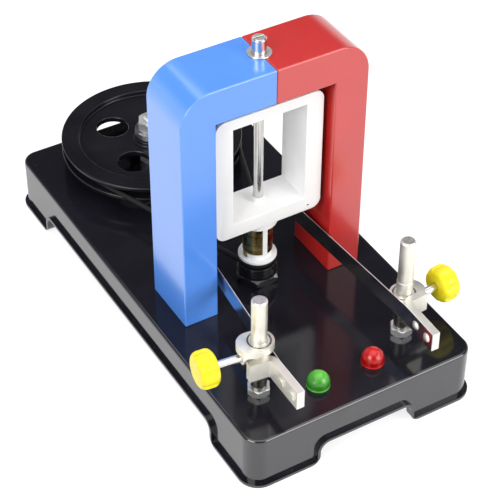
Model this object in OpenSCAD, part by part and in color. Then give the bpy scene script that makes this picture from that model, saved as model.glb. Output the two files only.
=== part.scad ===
// Hand-cranked generator demonstrator: a coil turns between the legs of an arched magnet,
// driven by a crank wheel and a round belt, and two brushes carry its current to terminals.
// Origin: middle of the base at table level. +X right, +Y towards the wheel, +Z up.

/* [Base] */
// Width of the base across X
base_w = 122.5; // [112:0.5:140]
// Length of the base along Y
base_l = 244; // [230:1:270]
// Height of the base from the table to its top
base_h = 28.5; // [27.5:0.5:36]
// Wall thickness of the base
base_wall = 2.5; // [2:0.1:4]
// Thickness of the top plate of the base
base_top_t = 3; // [2:0.1:5]
// Corner radius of the base seen from above
base_corner_r = 8.5; // [7:0.5:14]
// Rounding of the top edge of the base
base_edge_r = 1.4; // [1:0.1:3]
// Width of the lip that runs round the bottom edge
lip_w = 1.8; // [0.6:0.1:3]
// Thickness of that lip
lip_t = 1.5; // [1:0.1:2.5]
// Height of the cut-outs between the feet
cut_h = 12; // [10.5:0.5:14]
// Radius of the curves between a foot and a cut-out
cut_r = 5; // [3:0.1:5]
// Length of a foot along the long side
side_foot = 30; // [24:1:38]
// Length of a foot along the short side
end_foot = 31; // [25:1:39]

/* [Magnet] */
// Width of the arched magnet
magnet_w = 98; // [92:1:104]
// Height of the magnet above the base
magnet_h = 131; // [115:1:150]
// Depth of the magnet along Y
magnet_d = 31.6; // [26:0.2:38]
// Width of one leg
leg_w = 17.8; // [15:0.2:20]
// Thickness of the crosspiece on top
beam_t = 18.3; // [14:0.1:22]
// Radius of the outer shoulders
shoulder_r = 16; // [10:0.5:18]
// Place of the rotor axis along Y
rotor_y = -24.2; // [-34:0.2:-16]
// Wall thickness of the magnet covers
cover_wall = 2.4; // [1.8:0.1:3]
// Height of the plug that closes the foot of a leg
plug_h = 36; // [24:1:42]
// Height of the ceramic magnet inside a leg
pole_h = 66; // [50:1:70]
// Distance between the two screws of a leg
leg_screw_pitch = 16; // [12:0.5:18]

/* [Rotor] */
// Diameter of the rotor shaft
shaft_d = 4.8; // [4.4:0.1:5]
// Depth of the coil former along Y
former_d = 21; // [19:0.5:24]
// Gap between the corners of the turning former and the legs
sweep_gap = 0.8; // [0.6:0.1:3]
// Gap between the former and the crosspiece
former_top_gap = 4.7; // [3:0.1:8]
// Thickness of the flanges of the former
former_flange_t = 1.8; // [1.4:0.1:2.2]
// Width of a side band of the former
side_band = 9; // [8:0.1:10]
// Height of the bottom band of the former
bottom_band = 7.7; // [7:0.1:9]
// Height of the top band of the former
top_band = 5.7; // [5.4:0.1:7]
// Wall of the tube that the coil sits on
tube_wall = 1.3; // [1:0.1:1.5]
// Outer corner radius of the former
former_corner_r = 5; // [3:0.1:6]
// Diameter of the boss round the shaft
former_boss_d = 7; // [6.4:0.1:7.4]
// Height of the sleeve that stands on the floor of the window
sleeve_h = 3; // [2:0.5:8]
// Thickness of the wound wire under the outer layer
coil_build = 3.2; // [2.4:0.1:3.4]
// Diameter of the wire
wire_d = 0.55; // [0.45:0.01:0.56]
// Turns of the outer layer on each side of the shaft
turns_per_side = 5; // [3:1:5]

/* [Commutator and pulley] */
// Outer radius of the brass segments
segment_r = 7.35; // [6.8:0.05:8]
// Thickness of the brass segments
segment_t = 1.3; // [1:0.1:1.6]
// Height of the brass segments
segment_h = 17; // [14.6:0.2:18.6]
// Height of the white step under the brass segments
segment_lift = 3.2; // [2.4:0.1:4]
// Width of the brass tongue that runs down the step
tongue_w = 3; // [2:0.1:4]
// Width of the insulating rib between the segments
rib_w = 2.7; // [2:0.1:3.4]
// Radius of the white end flanges
flange_r = 9.5; // [9:0.1:10.5]
// Thickness of the lower white flange
lower_flange_t = 1.4; // [1.2:0.1:2.4]
// Thickness of the upper white flange
upper_flange_t = 4.3; // [3:0.1:6]
// Radius of the small pulley
pulley_r = 9.2; // [8.8:0.1:10]
// Depth of the belt's middle under the pulley's edge
pulley_belt_depth = 1.7; // [1.5:0.1:2]
// Across flats of the black bearing nut
bearing_nut_af = 20; // [18:0.5:24]
// Thickness of the bearing nut
bearing_nut_t = 4; // [3:0.1:5]

/* [Pivot] */
// Diameter of the pivot screw in the crosspiece
pivot_d = 6.8; // [6.4:0.1:7.2]
// Height that the pivot screw stands above the magnet
pivot_stand = 8.5; // [6:0.5:12]
// Depth of the cup that holds the end of the shaft
pivot_cup = 4.5; // [3.5:0.1:6]
// Diameter of the flange of the pivot bush
bush_flange_d = 11.5; // [11:0.1:14]
// Thickness of that flange
bush_flange_t = 0.8; // [0.5:0.1:1.5]

/* [Wheel and belt] */
// Distance of the wheel's axis from the rear edge of the base
wheel_inset = 37; // [32:0.5:42]
// Radius of the drive wheel
wheel_r = 47.7; // [42:0.1:50]
// Thickness of the wheel's rim
wheel_t = 8.8; // [8.4:0.1:9.6]
// Height of the wheel's underside above the base
wheel_lift = 7.3; // [7:0.1:7.8]
// Width of the flat rim
rim_w = 9.3; // [8.6:0.1:11]
// Depth of the recess inside the rim, on top
web_recess = 2.5; // [2:0.5:3.5]
// Thickness of the web
web_t = 3; // [2.5:0.5:4]
// Diameter of the round holes in the web
wheel_hole_d = 17; // [13:0.5:18]
// Radius of the circle that the holes lie on
wheel_hole_r = 23; // [21.5:0.5:24]
// Angle of the first hole
wheel_hole_angle = 38; // [30:1:45]
// Radius of the wheel's hub
hub_r = 9.5; // [8.5:0.1:11]
// Height of the hub above the web
hub_rise = 2.4; // [1:0.1:4]
// Diameter of the wheel's axle
axle_d = 8; // [7:0.1:8.4]
// Height of the axle's end above the base
axle_stand = 27.5; // [26.5:0.5:32]
// Diameter of the round belt
belt_d = 2.6; // [2:0.1:2.8]
// Depth of the belt's middle under the wheel's edge
wheel_belt_depth = 3.7; // [3:0.1:4.5]

/* [Crank] */
// Diameter of the crank knob at its widest
knob_d = 15; // [12:0.5:18]
// Length of the crank knob
knob_h = 38; // [30:1:46]
// Diameter of the crank spindle
spindle_d = 6; // [5.4:0.1:6.6]

/* [Terminals] */
// Distance of the left post's axis outside the inner face of its leg
post_outset_left = 9.4; // [8.6:0.1:9.8]
// Distance of the right post's axis outside the inner face of its leg
post_outset_right = 7; // [6:0.1:8]
// Distance of the posts from the front edge of the base
post_inset = 28.5; // [26:0.5:32]
// Diameter of a post where the bracket sits
post_d = 7.8; // [7:0.1:8]
// Height of a post above the base
post_h = 56.5; // [50:0.5:64]
// Across flats of the post nuts
post_nut_af = 10; // [9.5:0.1:11]
// Thickness of the post nuts
post_nut_t = 4; // [3:0.1:5]
// Diameter of the thread under a post
post_thread_d = 6; // [5.4:0.1:6.4]

/* [Brushes] */
// Height of the brush strip's lower edge above the lower white flange
brush_lift = 0.4; // [0.3:0.1:1.2]
// Height of a brush strip
brush_h = 10; // [8:0.1:11]
// Thickness of a brush strip
brush_t = 0.4; // [0.3:0.05:0.6]
// Angle of the left brush to the long side, swung open as it stands at rest
brush_rest_left = 6; // [5:0.1:9]
// Angle of the right brush to the long side, swung open as it stands at rest
brush_rest_right = 3.4; // [2.6:0.1:8]
// Length of the strip past the commutator's axis
brush_past = 3; // [2:0.1:4]
// Thickness of the bracket's bent plate
arm_t = 3.6; // [3:0.1:4]
// Length of the bracket's arm in front of the post
arm_l = 31; // [28:0.5:34]
// Angle between the arm and the free part of the strip
arm_lean = 5; // [1:0.5:8]
// Radius of the bracket's eye
eye_r = 7; // [6.8:0.1:8]
// Length that the eye runs on towards the clamp screw
eye_lug = 3.8; // [2:0.2:5]
// Thickness of the eye
eye_t = 3.5; // [2.5:0.1:5]
// Gap between the left strip's upper edge and the eye
eye_gap_left = 3.1; // [2:0.1:4]
// Depth of the right eye's underside below its strip's upper edge
eye_sink_right = 4.5; // [4:0.1:5]
// Diameter of the clamp screw
clamp_d = 4; // [3.6:0.1:4.4]
// Depth of the left clamp screw under the eye
clamp_below_left = 3.9; // [3.8:0.1:7.6]
// Depth of the right clamp screw under the eye
clamp_below_right = 2.6; // [2.4:0.1:3.2]
// Length of the left clamp screw between the boss and the knob
clamp_reach_left = 12.5; // [9:0.5:16]
// Length of the right clamp screw between the boss and the knob
clamp_reach_right = 10; // [9:0.5:16]
// Diameter of the clamp knob
clamp_knob_d = 18; // [16:0.5:20]
// Thickness of the clamp knob
clamp_knob_t = 9.5; // [8:0.5:12]
// Number of lobes on the clamp knob
clamp_lobes = 8; // [6:1:10]

/* [Lamps] */
// Distance of a lamp from the middle line
lamp_x = 15; // [12:0.5:20]
// Distance of the lamps from the front edge
lamp_inset = 18; // [15:0.5:20]
// Diameter of a lamp's dome
lamp_d = 10.4; // [9:0.1:10.6]
// Diameter of a lamp's flange
lamp_flange_d = 11.2; // [11:0.1:12.4]
// Height of a lamp
lamp_h = 7.8; // [7.4:0.1:10]

/* [Hidden] */
$fn = 64;

// Clearances: run for a shaft in its bearing, fit for pieces pushed together, free for passing pieces
run = 0.05;
fit = 0.05;
free = 0.3;
// Overlap that makes a cut go cleanly through a face
eps = 1;

// Levels of the rotor, from the top of the base up
top = base_h;
under = base_h - base_top_t;
belt_z = top + wheel_lift + wheel_t / 2;
pulley_z = top + bearing_nut_t + 0.5;
groove_clear = 0.25;
groove_r = belt_d / 2 + groove_clear;
pulley_land = 0.5;
pulley_top = belt_z + groove_r + pulley_land;
flange_top = pulley_top + lower_flange_t;
segment_z = flange_top + segment_lift;
collar_z = segment_z + segment_h;
former_z = collar_z + upper_flange_t;
beam_z = top + magnet_h - beam_t;
former_top = beam_z - former_top_gap;

// Arch of the magnet
arch_x = magnet_w / 2 - leg_w;
leg_x = arch_x + leg_w / 2;
cavity_w = leg_w - 2 * cover_wall;
cavity_d = magnet_d - 2 * cover_wall;
bush_barrel_d = pivot_d + 3;
leg_screw_r = 1.9;
leg_screw_head_r = 3.6;
leg_screw_head_t = 2.6;
leg_screw_bite = 14;

// Coil former and winding
shaft_r = shaft_d / 2;
sweep_r = arch_x - sweep_gap;
former_w = 2 * sqrt(sweep_r * sweep_r - former_d * former_d / 4);
window_w = former_w - 2 * side_band;
window_z = former_z + bottom_band;
window_top = former_top - top_band;
window_h = window_top - window_z;
channel = former_d - 2 * former_flange_t;
tube_w = window_w + 2 * tube_wall;
tube_h = window_h + 2 * tube_wall;
tube_mid_z = (window_z + window_top) / 2;
coil_w = tube_w + 2 * coil_build;
coil_h = tube_h + 2 * coil_build;
coil_corner_r = coil_build + 1;
coil_side_gap = 0.1;
boss_r = former_boss_d / 2;

// Belt: radii at its middle, and where it leaves the wheels
wheel_y = base_l / 2 - wheel_inset;
wheel_belt_r = wheel_r - wheel_belt_depth;
pulley_belt_r = pulley_r - pulley_belt_depth;
belt_span = wheel_y - rotor_y;
belt_lean = asin((wheel_belt_r - pulley_belt_r) / belt_span);
belt_run = belt_span * cos(belt_lean);

// Wheel, axle and crank
wheel_z = top + wheel_lift;
wheel_top = wheel_z + wheel_t;
web_top = wheel_top - web_recess;
web_z = web_top - web_t;
hub_top = web_top + hub_rise;
axle_nut_af = 13;
axle_nut_t = wheel_lift - free;
axle_head_t = 5.3;
washer_r = 8.8;
washer_t = 0.8;
washer_count = 4;
washer_step = washer_t + fit;
washer_top = hub_top + free + washer_count * washer_step;
wheel_nut_t = 5.5;
crank_boss_r = 5;
crank_boss_h = 2;
crank_r = wheel_r - rim_w - crank_boss_r - 0.4;
crank_angle = wheel_hole_angle + 225;
crank_thread_d = 5;
crank_collar_t = 2;
crank_head_r = 5.2;
crank_head_t = 2.5;
crank_nut_af = 8;
crank_nut_t = 3.6;
crank_seat = web_top + crank_boss_h;
knob_z = crank_seat + crank_collar_t + free;
crank_x = crank_r * cos(crank_angle);
crank_y = wheel_y + crank_r * sin(crank_angle);

// Posts and brushes, drawn for the left side: the right side is mirrored, with its own angle and levels
function post_x(side) = arch_x + (side < 0 ? post_outset_left : post_outset_right);
post_y = -base_l / 2 + post_inset;
post_r = post_d / 2;
post_step = 0.2;
brush_z = flange_top + brush_lift;
brush_top = brush_z + brush_h;
strip_in = 5.9;
arm_out = strip_in - brush_t;
arm_z = brush_z;
arm_h = brush_h;
hub_wall = 1.3;
clamp_hub_r = post_r + run + hub_wall;
clamp_boss_r = 3.3;
clamp_boss_x = 9;
web_out = 8;
function clamp_knob_x(side) = clamp_boss_x + (side < 0 ? clamp_reach_left : clamp_reach_right);
function rest_angle(side) = side < 0 ? brush_rest_left : brush_rest_right;
function eye_level(side) = brush_top + (side < 0 ? eye_gap_left : -eye_sink_right);
function clamp_level(side) = eye_level(side) - (side < 0 ? clamp_below_left : clamp_below_right);
rivet_r = 1.25;
rivet_head_r = 2.4;
rivet_head_t = 1.1;
bend_r = 3;
bend_out = bend_r + arm_t / 2;
web_mid = -post_r - 0.2 - arm_t / 2;
bend_x = arm_out - bend_out;
knee_y = web_mid - bend_r;
held_l = arm_l + knee_y;
lean_along = [sin(arm_lean), -cos(arm_lean)];
lean_across = [cos(arm_lean), sin(arm_lean)];
rivet_inset = 4.5;
rivet_pitch = 9;
rivet_places = [-held_l + rivet_inset, -held_l + rivet_inset + rivet_pitch];

// Swing that brings a brush to the commutator, and the strip's length for it
contact_side = strip_in + segment_r + free;
function rotor_reach(side) = norm([post_x(side), rotor_y - post_y]);
function contact_angle(side) =
    acos(contact_side / rotor_reach(side)) - atan2(rotor_y - post_y, post_x(side));
function strip_reach(side) =
    sqrt(rotor_reach(side) * rotor_reach(side) - contact_side * contact_side) + brush_past;
echo(swing_left_deg = contact_angle(-1) - brush_rest_left);
echo(swing_right_deg = contact_angle(1) - brush_rest_right);
echo(strip_reach = [strip_reach(-1), strip_reach(1)], clamp_levels = [clamp_level(-1), clamp_level(1)]);
echo(belt_ratio = wheel_belt_r / pulley_belt_r);

// Colours
black = [0.06, 0.06, 0.07];
blue = [0.25, 0.5, 0.92];
red = [0.78, 0.14, 0.12];
white = [0.94, 0.94, 0.92];
yellow = [0.95, 0.88, 0.1];
nickel = [0.86, 0.84, 0.78];
steel = [0.75, 0.76, 0.78];
brass = [0.6, 0.48, 0.2];
copper = [0.72, 0.36, 0.18];
ferrite = [0.2, 0.2, 0.21];

// Flat shapes and stock pieces

// Rectangle with round corners, centred
module rounded_rect(w, h, r) {
    square([w - 2 * r, h], center = true);
    square([w, h - 2 * r], center = true);
    for (sx = [-1, 1], sy = [-1, 1])
        translate([sx * (w / 2 - r), sy * (h / 2 - r)]) circle(r);
}

// Hexagon by its width across flats
module hexagon(af) {
    circle(r = af / 2 / cos(30), $fn = 6);
}

// Hexagon nut with both faces chamfered, standing on z = 0
module hex_nut(af, t, bore_r) {
    corner_r = af / 2 / cos(30);
    chamfer = 0.12 * af / 2;
    difference() {
        intersection() {
            linear_extrude(t) hexagon(af);
            rotate_extrude() polygon([
                [0, 0], [af / 2, 0], [corner_r, chamfer],
                [corner_r, t - chamfer], [af / 2, t], [0, t]
            ]);
        }
        translate([0, 0, -eps]) cylinder(r = bore_r, h = t + 2 * eps);
    }
}

// Round disc or ring, standing on z = 0
module ring(r, bore_r, t) {
    difference() {
        cylinder(r = r, h = t);
        translate([0, 0, -eps]) cylinder(r = bore_r, h = t + 2 * eps);
    }
}

// Base

// Half section of the block's edge: a wall with its top corner rounded
module edge_section(r, h, e) {
    square([r - e, h]);
    square([r, h - e]);
    translate([r - e, h - e]) circle(e);
}

// Block with round vertical corners and a rounded top edge
module rounded_block(w, l, h, r, e) {
    inner_w = w - 2 * r;
    inner_l = l - 2 * r;
    translate([-inner_w / 2, -inner_l / 2, 0]) cube([inner_w, inner_l, h]);
    for (i = [0 : 3]) {
        along = i % 2 == 0 ? inner_l : inner_w;
        out = i % 2 == 0 ? inner_w / 2 : inner_l / 2;
        rotate(90 * i) translate([out, along / 2, 0])
            rotate([90, 0, 0]) linear_extrude(along) edge_section(r, h, e);
        rotate(90 * i) translate([out, along / 2, 0])
            rotate_extrude(angle = 90) edge_section(r, h, e);
    }
}

// Side view of a cut-out between two feet, grown outwards by g
module cut_section(half, g) {
    wall = half - cut_r + g;
    inner_r = cut_r + g;
    outer_r = cut_r - g;
    difference() {
        translate([-wall, -eps]) square([2 * wall, cut_h + g + eps]);
        for (s = [-1, 1]) translate([s * (wall - inner_r), cut_h + g - inner_r]) difference() {
            translate([s > 0 ? 0 : -2 * inner_r, 0]) square(2 * inner_r);
            circle(inner_r);
        }
    }
    for (s = [-1, 1]) difference() {
        translate([s > 0 ? wall : -wall - outer_r, -eps]) square([outer_r, outer_r + eps]);
        translate([s * (wall + outer_r), outer_r]) circle(outer_r);
    }
}

// The four cut-outs as two bars right through the base
module foot_cuts(g) {
    through = base_l + 4 * lip_w;
    translate([0, through / 2, 0]) rotate([90, 0, 0])
        linear_extrude(through) cut_section(base_w / 2 - end_foot, g);
    translate([-through / 2, 0, 0]) rotate([90, 0, 90])
        linear_extrude(through) cut_section(base_l / 2 - side_foot, g);
}

module base_lip() {
    intersection() {
        linear_extrude(cut_h + lip_t)
            rounded_rect(base_w + 2 * lip_w, base_l + 2 * lip_w, base_corner_r + lip_w);
        union() {
            linear_extrude(lip_t)
                rounded_rect(base_w + 2 * lip_w, base_l + 2 * lip_w, base_corner_r + lip_w);
            foot_cuts(lip_t);
        }
    }
}

module base_shell() {
    color(black) difference() {
        union() {
            rounded_block(base_w, base_l, base_h, base_corner_r, base_edge_r);
            base_lip();
        }
        translate([0, 0, -eps]) linear_extrude(under + eps)
            rounded_rect(base_w - 2 * base_wall, base_l - 2 * base_wall, base_corner_r - base_wall);
        foot_cuts(0);
        translate([0, 0, under - eps]) {
            translate([0, rotor_y, 0]) cylinder(r = bearing_barrel_r + fit, h = base_top_t + 2 * eps);
            translate([0, wheel_y, 0]) cylinder(r = axle_d / 2 + fit, h = base_top_t + 2 * eps);
            for (s = [-1, 1]) {
                translate([s * post_x(s), post_y, 0])
                    cylinder(d = post_thread_d + 2 * fit, h = base_top_t + 2 * eps);
                for (t = [-1, 1]) {
                    translate([s * leg_x, rotor_y + t * leg_screw_pitch / 2, 0])
                        cylinder(r = leg_screw_r + fit, h = base_top_t + 2 * eps);
                    translate([s * lamp_x + t * lead_pitch / 2, lamp_y, 0])
                        cylinder(r = lead_r + fit, h = base_top_t + 2 * eps);
                }
            }
        }
    }
}

// Magnet

// Front view of one half of the arch, on the +X side
module arch_half() {
    difference() {
        union() {
            square([magnet_w / 2 - shoulder_r, magnet_h]);
            square([magnet_w / 2, magnet_h - shoulder_r]);
            translate([magnet_w / 2 - shoulder_r, magnet_h - shoulder_r]) circle(shoulder_r);
        }
        translate([-eps, -eps]) square([arch_x + eps, magnet_h - beam_t + eps]);
        translate([-magnet_w, -eps]) square([magnet_w, magnet_h + 2 * eps]);
    }
}

// Cover of one half: hollow in the leg for the ceramic magnet, bored for the pivot bush
module magnet_cover() {
    difference() {
        translate([0, rotor_y + magnet_d / 2, top]) rotate([90, 0, 0])
            linear_extrude(magnet_d) arch_half();
        translate([leg_x - cavity_w / 2, rotor_y - cavity_d / 2, top - eps])
            cube([cavity_w, cavity_d, plug_h + pole_h + 2 * fit + eps]);
        translate([0, rotor_y, beam_z - eps])
            cylinder(d = bush_barrel_d + 2 * fit, h = beam_t + 2 * eps);
    }
}

module magnet_cover_blue() {
    color(blue) mirror([1, 0, 0]) magnet_cover();
}

module magnet_cover_red() {
    color(red) magnet_cover();
}

// Ceramic block that stands on the plug inside a leg
module pole_magnet(side) {
    color(ferrite) translate([side * leg_x, rotor_y, top + plug_h + pole_h / 2])
        cube([cavity_w - 2 * fit, cavity_d - 2 * fit, pole_h], center = true);
}

module pole_magnet_blue() {
    pole_magnet(-1);
}

module pole_magnet_red() {
    pole_magnet(1);
}

// Plug that closes the foot of a leg and takes its two screws
module leg_plug(side) {
    color(white) translate([side * leg_x, rotor_y, top]) difference() {
        translate([0, 0, plug_h / 2])
            cube([cavity_w - 2 * fit, cavity_d - 2 * fit, plug_h], center = true);
        for (t = [-1, 1]) translate([0, t * leg_screw_pitch / 2, -eps])
            cylinder(r = leg_screw_r + fit, h = leg_screw_bite + fit + eps);
    }
}

module leg_plug_blue() {
    leg_plug(-1);
}

module leg_plug_red() {
    leg_plug(1);
}

module leg_screws() {
    color(steel) for (s = [-1, 1], t = [-1, 1])
        translate([s * leg_x, rotor_y + t * leg_screw_pitch / 2, under - leg_screw_head_t]) {
            cylinder(r = leg_screw_head_r, h = leg_screw_head_t);
            cylinder(r = leg_screw_r, h = leg_screw_head_t + base_top_t + leg_screw_bite);
        }
}

module pivot_bush() {
    color(steel) translate([0, rotor_y, 0]) difference() {
        union() {
            translate([0, 0, beam_z]) cylinder(d = bush_barrel_d, h = beam_t);
            translate([0, 0, top + magnet_h]) cylinder(d = bush_flange_d, h = bush_flange_t);
        }
        translate([0, 0, beam_z - eps])
            cylinder(d = pivot_d + 2 * fit, h = beam_t + bush_flange_t + 2 * eps);
    }
}

// Slotted screw whose lower end is a cup for the shaft
module pivot_screw() {
    length = beam_t + pivot_stand;
    chamfer = 0.6;
    slot_w = 1;
    slot_depth = 1.3;
    color(steel) translate([0, rotor_y, beam_z]) difference() {
        rotate_extrude() polygon([
            [0, 0], [pivot_d / 2, 0], [pivot_d / 2, length - chamfer],
            [pivot_d / 2 - chamfer, length], [0, length]
        ]);
        translate([0, 0, -eps]) cylinder(r = shaft_r + run, h = pivot_cup + eps);
        translate([-pivot_d, -slot_w / 2, length - slot_depth])
            cube([2 * pivot_d, slot_w, slot_depth + eps]);
    }
}

// Rotor

bearing_barrel_r = 5;
bearing_flange_r = 8;
bearing_flange_t = 2;
bearing_floor = 1;
shaft_bottom = under - bearing_flange_t + bearing_floor + run;
shaft_top = beam_z + pivot_cup - 2 * free;

// Flanged bush from below, closed at its bottom so that the shaft stands in it
module lower_bearing() {
    color(brass) translate([0, rotor_y, 0]) difference() {
        union() {
            translate([0, 0, under - bearing_flange_t])
                cylinder(r = bearing_flange_r, h = bearing_flange_t);
            translate([0, 0, under])
                cylinder(r = bearing_barrel_r, h = base_top_t + bearing_nut_t);
        }
        translate([0, 0, under - bearing_flange_t + bearing_floor])
            cylinder(r = shaft_r + run, h = base_h);
    }
}

module bearing_nut() {
    color(black) translate([0, rotor_y, top])
        hex_nut(bearing_nut_af, bearing_nut_t, bearing_barrel_r + fit);
}

module rotor_shaft() {
    tip = 0.5;
    color(steel) translate([0, rotor_y, 0]) rotate_extrude() polygon([
        [0, shaft_bottom], [shaft_r - tip, shaft_bottom], [shaft_r, shaft_bottom + tip],
        [shaft_r, shaft_top - tip], [shaft_r - tip, shaft_top], [0, shaft_top]
    ]);
}

// Groove for the round belt: a round bottom with flared sides, as a section at radius r
module belt_groove(r, edge_r) {
    flare = 0.15;
    depth = edge_r - r + eps;
    translate([r, belt_z]) circle(groove_r);
    polygon([
        [r, belt_z - groove_r], [r + depth, belt_z - groove_r - flare * depth],
        [r + depth, belt_z + groove_r + flare * depth], [r, belt_z + groove_r]
    ]);
}

module rotor_pulley() {
    color(black) translate([0, rotor_y, 0]) rotate_extrude() difference() {
        translate([shaft_r + fit, pulley_z]) square([pulley_r - shaft_r - fit, pulley_top - pulley_z]);
        belt_groove(pulley_belt_r, pulley_r);
    }
}

// White spool that carries the segments: a step under them, notched for their tongues, and two ribs
module commutator_core() {
    barrel_r = segment_r - segment_t - fit;
    step_r = segment_r - 0.4;
    notch_w = tongue_w + 2 * fit;
    color(white) translate([0, rotor_y, 0]) difference() {
        union() {
            translate([0, 0, pulley_top]) cylinder(r = flange_r, h = lower_flange_t);
            translate([0, 0, flange_top]) difference() {
                cylinder(r = step_r, h = segment_lift);
                translate([-flange_r, -notch_w / 2, 0]) cube([2 * flange_r, notch_w, segment_lift + eps]);
            }
            translate([0, 0, flange_top]) cylinder(r = barrel_r, h = segment_lift + segment_h);
            translate([0, 0, collar_z]) cylinder(r = flange_r, h = upper_flange_t);
            intersection() {
                translate([-rib_w / 2, -segment_r, segment_z]) cube([rib_w, 2 * segment_r, segment_h]);
                translate([0, 0, segment_z]) cylinder(r = segment_r, h = segment_h);
            }
        }
        translate([0, 0, pulley_top - eps])
            cylinder(r = shaft_r + fit, h = former_z - pulley_top + 2 * eps);
    }
}

// Brass half shell with a tongue that runs down to the lower flange
module commutator_segment(side) {
    whole_h = segment_lift + segment_h;
    color(brass) translate([0, rotor_y, flange_top]) difference() {
        union() {
            translate([0, 0, segment_lift]) cylinder(r = segment_r, h = segment_h);
            intersection() {
                cylinder(r = segment_r, h = whole_h);
                translate([-flange_r, -tongue_w / 2, 0]) cube([2 * flange_r, tongue_w, whole_h]);
            }
        }
        translate([0, 0, -eps]) cylinder(r = segment_r - segment_t, h = whole_h + 2 * eps);
        translate([side > 0 ? -2 * flange_r : -rib_w / 2 - fit, -flange_r, -eps])
            cube([2 * flange_r + rib_w / 2 + fit, 2 * flange_r, whole_h + 2 * eps]);
    }
}

module commutator_segment_left() {
    commutator_segment(-1);
}

module commutator_segment_right() {
    commutator_segment(1);
}

// Stands a flat shape up in the XZ plane, with its depth along Y half before the rotor axis
module upright(depth) {
    translate([0, rotor_y + depth / 2, 0]) rotate([90, 0, 0]) linear_extrude(depth) children();
}

// Moulded frame: two flanges, a tube round the window, and bosses that grip the shaft
module coil_former() {
    mid_z = (former_z + former_top) / 2;
    sleeve_r = boss_r - 0.5;
    color(white) difference() {
        union() {
            for (s = [-1, 1]) translate([0, s * (former_d - former_flange_t) / 2, 0])
                upright(former_flange_t) translate([0, mid_z])
                    rounded_rect(former_w, former_top - former_z, former_corner_r);
            upright(former_d) translate([0, tube_mid_z]) square([tube_w, tube_h], center = true);
            translate([0, rotor_y, former_z]) cylinder(r = boss_r, h = former_top - former_z);
        }
        difference() {
            upright(former_d + 2 * eps) translate([0, tube_mid_z])
                square([window_w, window_h], center = true);
            translate([0, rotor_y, window_z - eps]) cylinder(r = sleeve_r, h = sleeve_h + eps);
        }
        translate([0, rotor_y, former_z - eps])
            cylinder(r = shaft_r + fit, h = former_top - former_z + 2 * eps);
    }
}

// The wound wire under the outer layer, as one plain body in the former's channel
module coil_core() {
    depth = channel - 2 * coil_side_gap;
    color(copper) difference() {
        upright(depth) translate([0, tube_mid_z]) rounded_rect(coil_w, coil_h, coil_corner_r);
        upright(depth + 2 * eps) translate([0, tube_mid_z])
            square([tube_w + 2 * fit, tube_h + 2 * fit], center = true);
        translate([0, rotor_y, former_z])
            cylinder(r = boss_r + fit, h = former_top - former_z);
    }
}

// Outer layer of the coil: one wire, wound in front of the shaft and then behind it.
// On the sides the turns spread over the channel, and above and below they pass the boss.
turns = 2 * turns_per_side - 1;
loop_rings = 24;
wire_sides = 6;
wire_lift = wire_d / 2 + 0.12;
loop_w = coil_w / 2 + wire_lift;
loop_h = coil_h / 2 + wire_lift;
loop_r = coil_corner_r + wire_lift;
wire_pitch = wire_d + 0.45;
spread_pitch = (channel - 2 * wire_d) / turns;
boss_pass = boss_r + wire_d / 2 + 0.35;
lead_x = 1.2;
lead_bend = 0.9;

// Half loop from the bottom middle to the top middle, on the -X side: place j of 0..12
function half_loop(j) =
    j == 0 ? [0, -loop_h] :
    j == 12 ? [0, loop_h] :
    j == 6 ? [-loop_w, 0] :
    j < 6 ? [loop_r - loop_w - loop_r * sin((j - 1) * 22.5), loop_r - loop_h - loop_r * cos((j - 1) * 22.5)] :
    [loop_r - loop_w - loop_r * cos((j - 7) * 22.5), loop_h - loop_r + loop_r * sin((j - 7) * 22.5)];
function loop_xz(j) = j <= 12 ? half_loop(j) : -half_loop(j - 12);
function side_y(turn) = (turn - turns / 2) * spread_pitch;
function boss_y(i) =
    i < turns_per_side ? -boss_pass - (turns_per_side - 1 - i) * wire_pitch :
    boss_pass + (i - turns_per_side) * wire_pitch;
function ring_y(i, j) =
    j == 0 ? boss_y(i) : j == 12 ? boss_y(i) : side_y(i + j / loop_rings);
function ring_point(i, j) = [loop_xz(j)[0], rotor_y + ring_y(i, j), tube_mid_z + loop_xz(j)[1]];
first_y = rotor_y + boss_y(0);
last_y = rotor_y + boss_y(turns);
bottom_run_z = tube_mid_z - loop_h;
wire_path = concat(
    [
        [lead_x, first_y, former_z], [lead_x, first_y, former_z + wire_d],
        [lead_x, first_y, bottom_run_z - lead_bend],
        [lead_x - 0.3 * lead_bend, first_y, bottom_run_z - 0.3 * lead_bend]
    ],
    [for (i = [0 : turns - 1], j = [0 : loop_rings - 1]) ring_point(i, j)],
    [
        [0, last_y, bottom_run_z], [0.3 * lead_bend - lead_x, last_y, bottom_run_z - 0.3 * lead_bend],
        [-lead_x, last_y, bottom_run_z - lead_bend], [-lead_x, last_y, former_z + wire_d],
        [-lead_x, last_y, former_z]
    ]
);
wire_rings = len(wire_path);
function unit(v) = v / norm(v);
function heading(k) = unit(wire_path[min(k + 1, wire_rings - 1)] - wire_path[max(k - 1, 0)]);
function ring_side(k) = unit(cross(heading(k), [0, 1, 0]));
function wire_point(k, s) =
    let (a = 360 * s / wire_sides, u = ring_side(k), v = cross(heading(k), u))
    wire_path[k] + wire_d / 2 * (cos(a) * u + sin(a) * v);
wire_gap = min([
    for (a = [0 : wire_rings - 1])
        min([for (b = [a + 9 : 1 : wire_rings - 1]) norm(wire_path[a] - wire_path[b]), 100])
]) - wire_d;
echo(winding_turns = turns, winding_least_gap = wire_gap);

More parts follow.
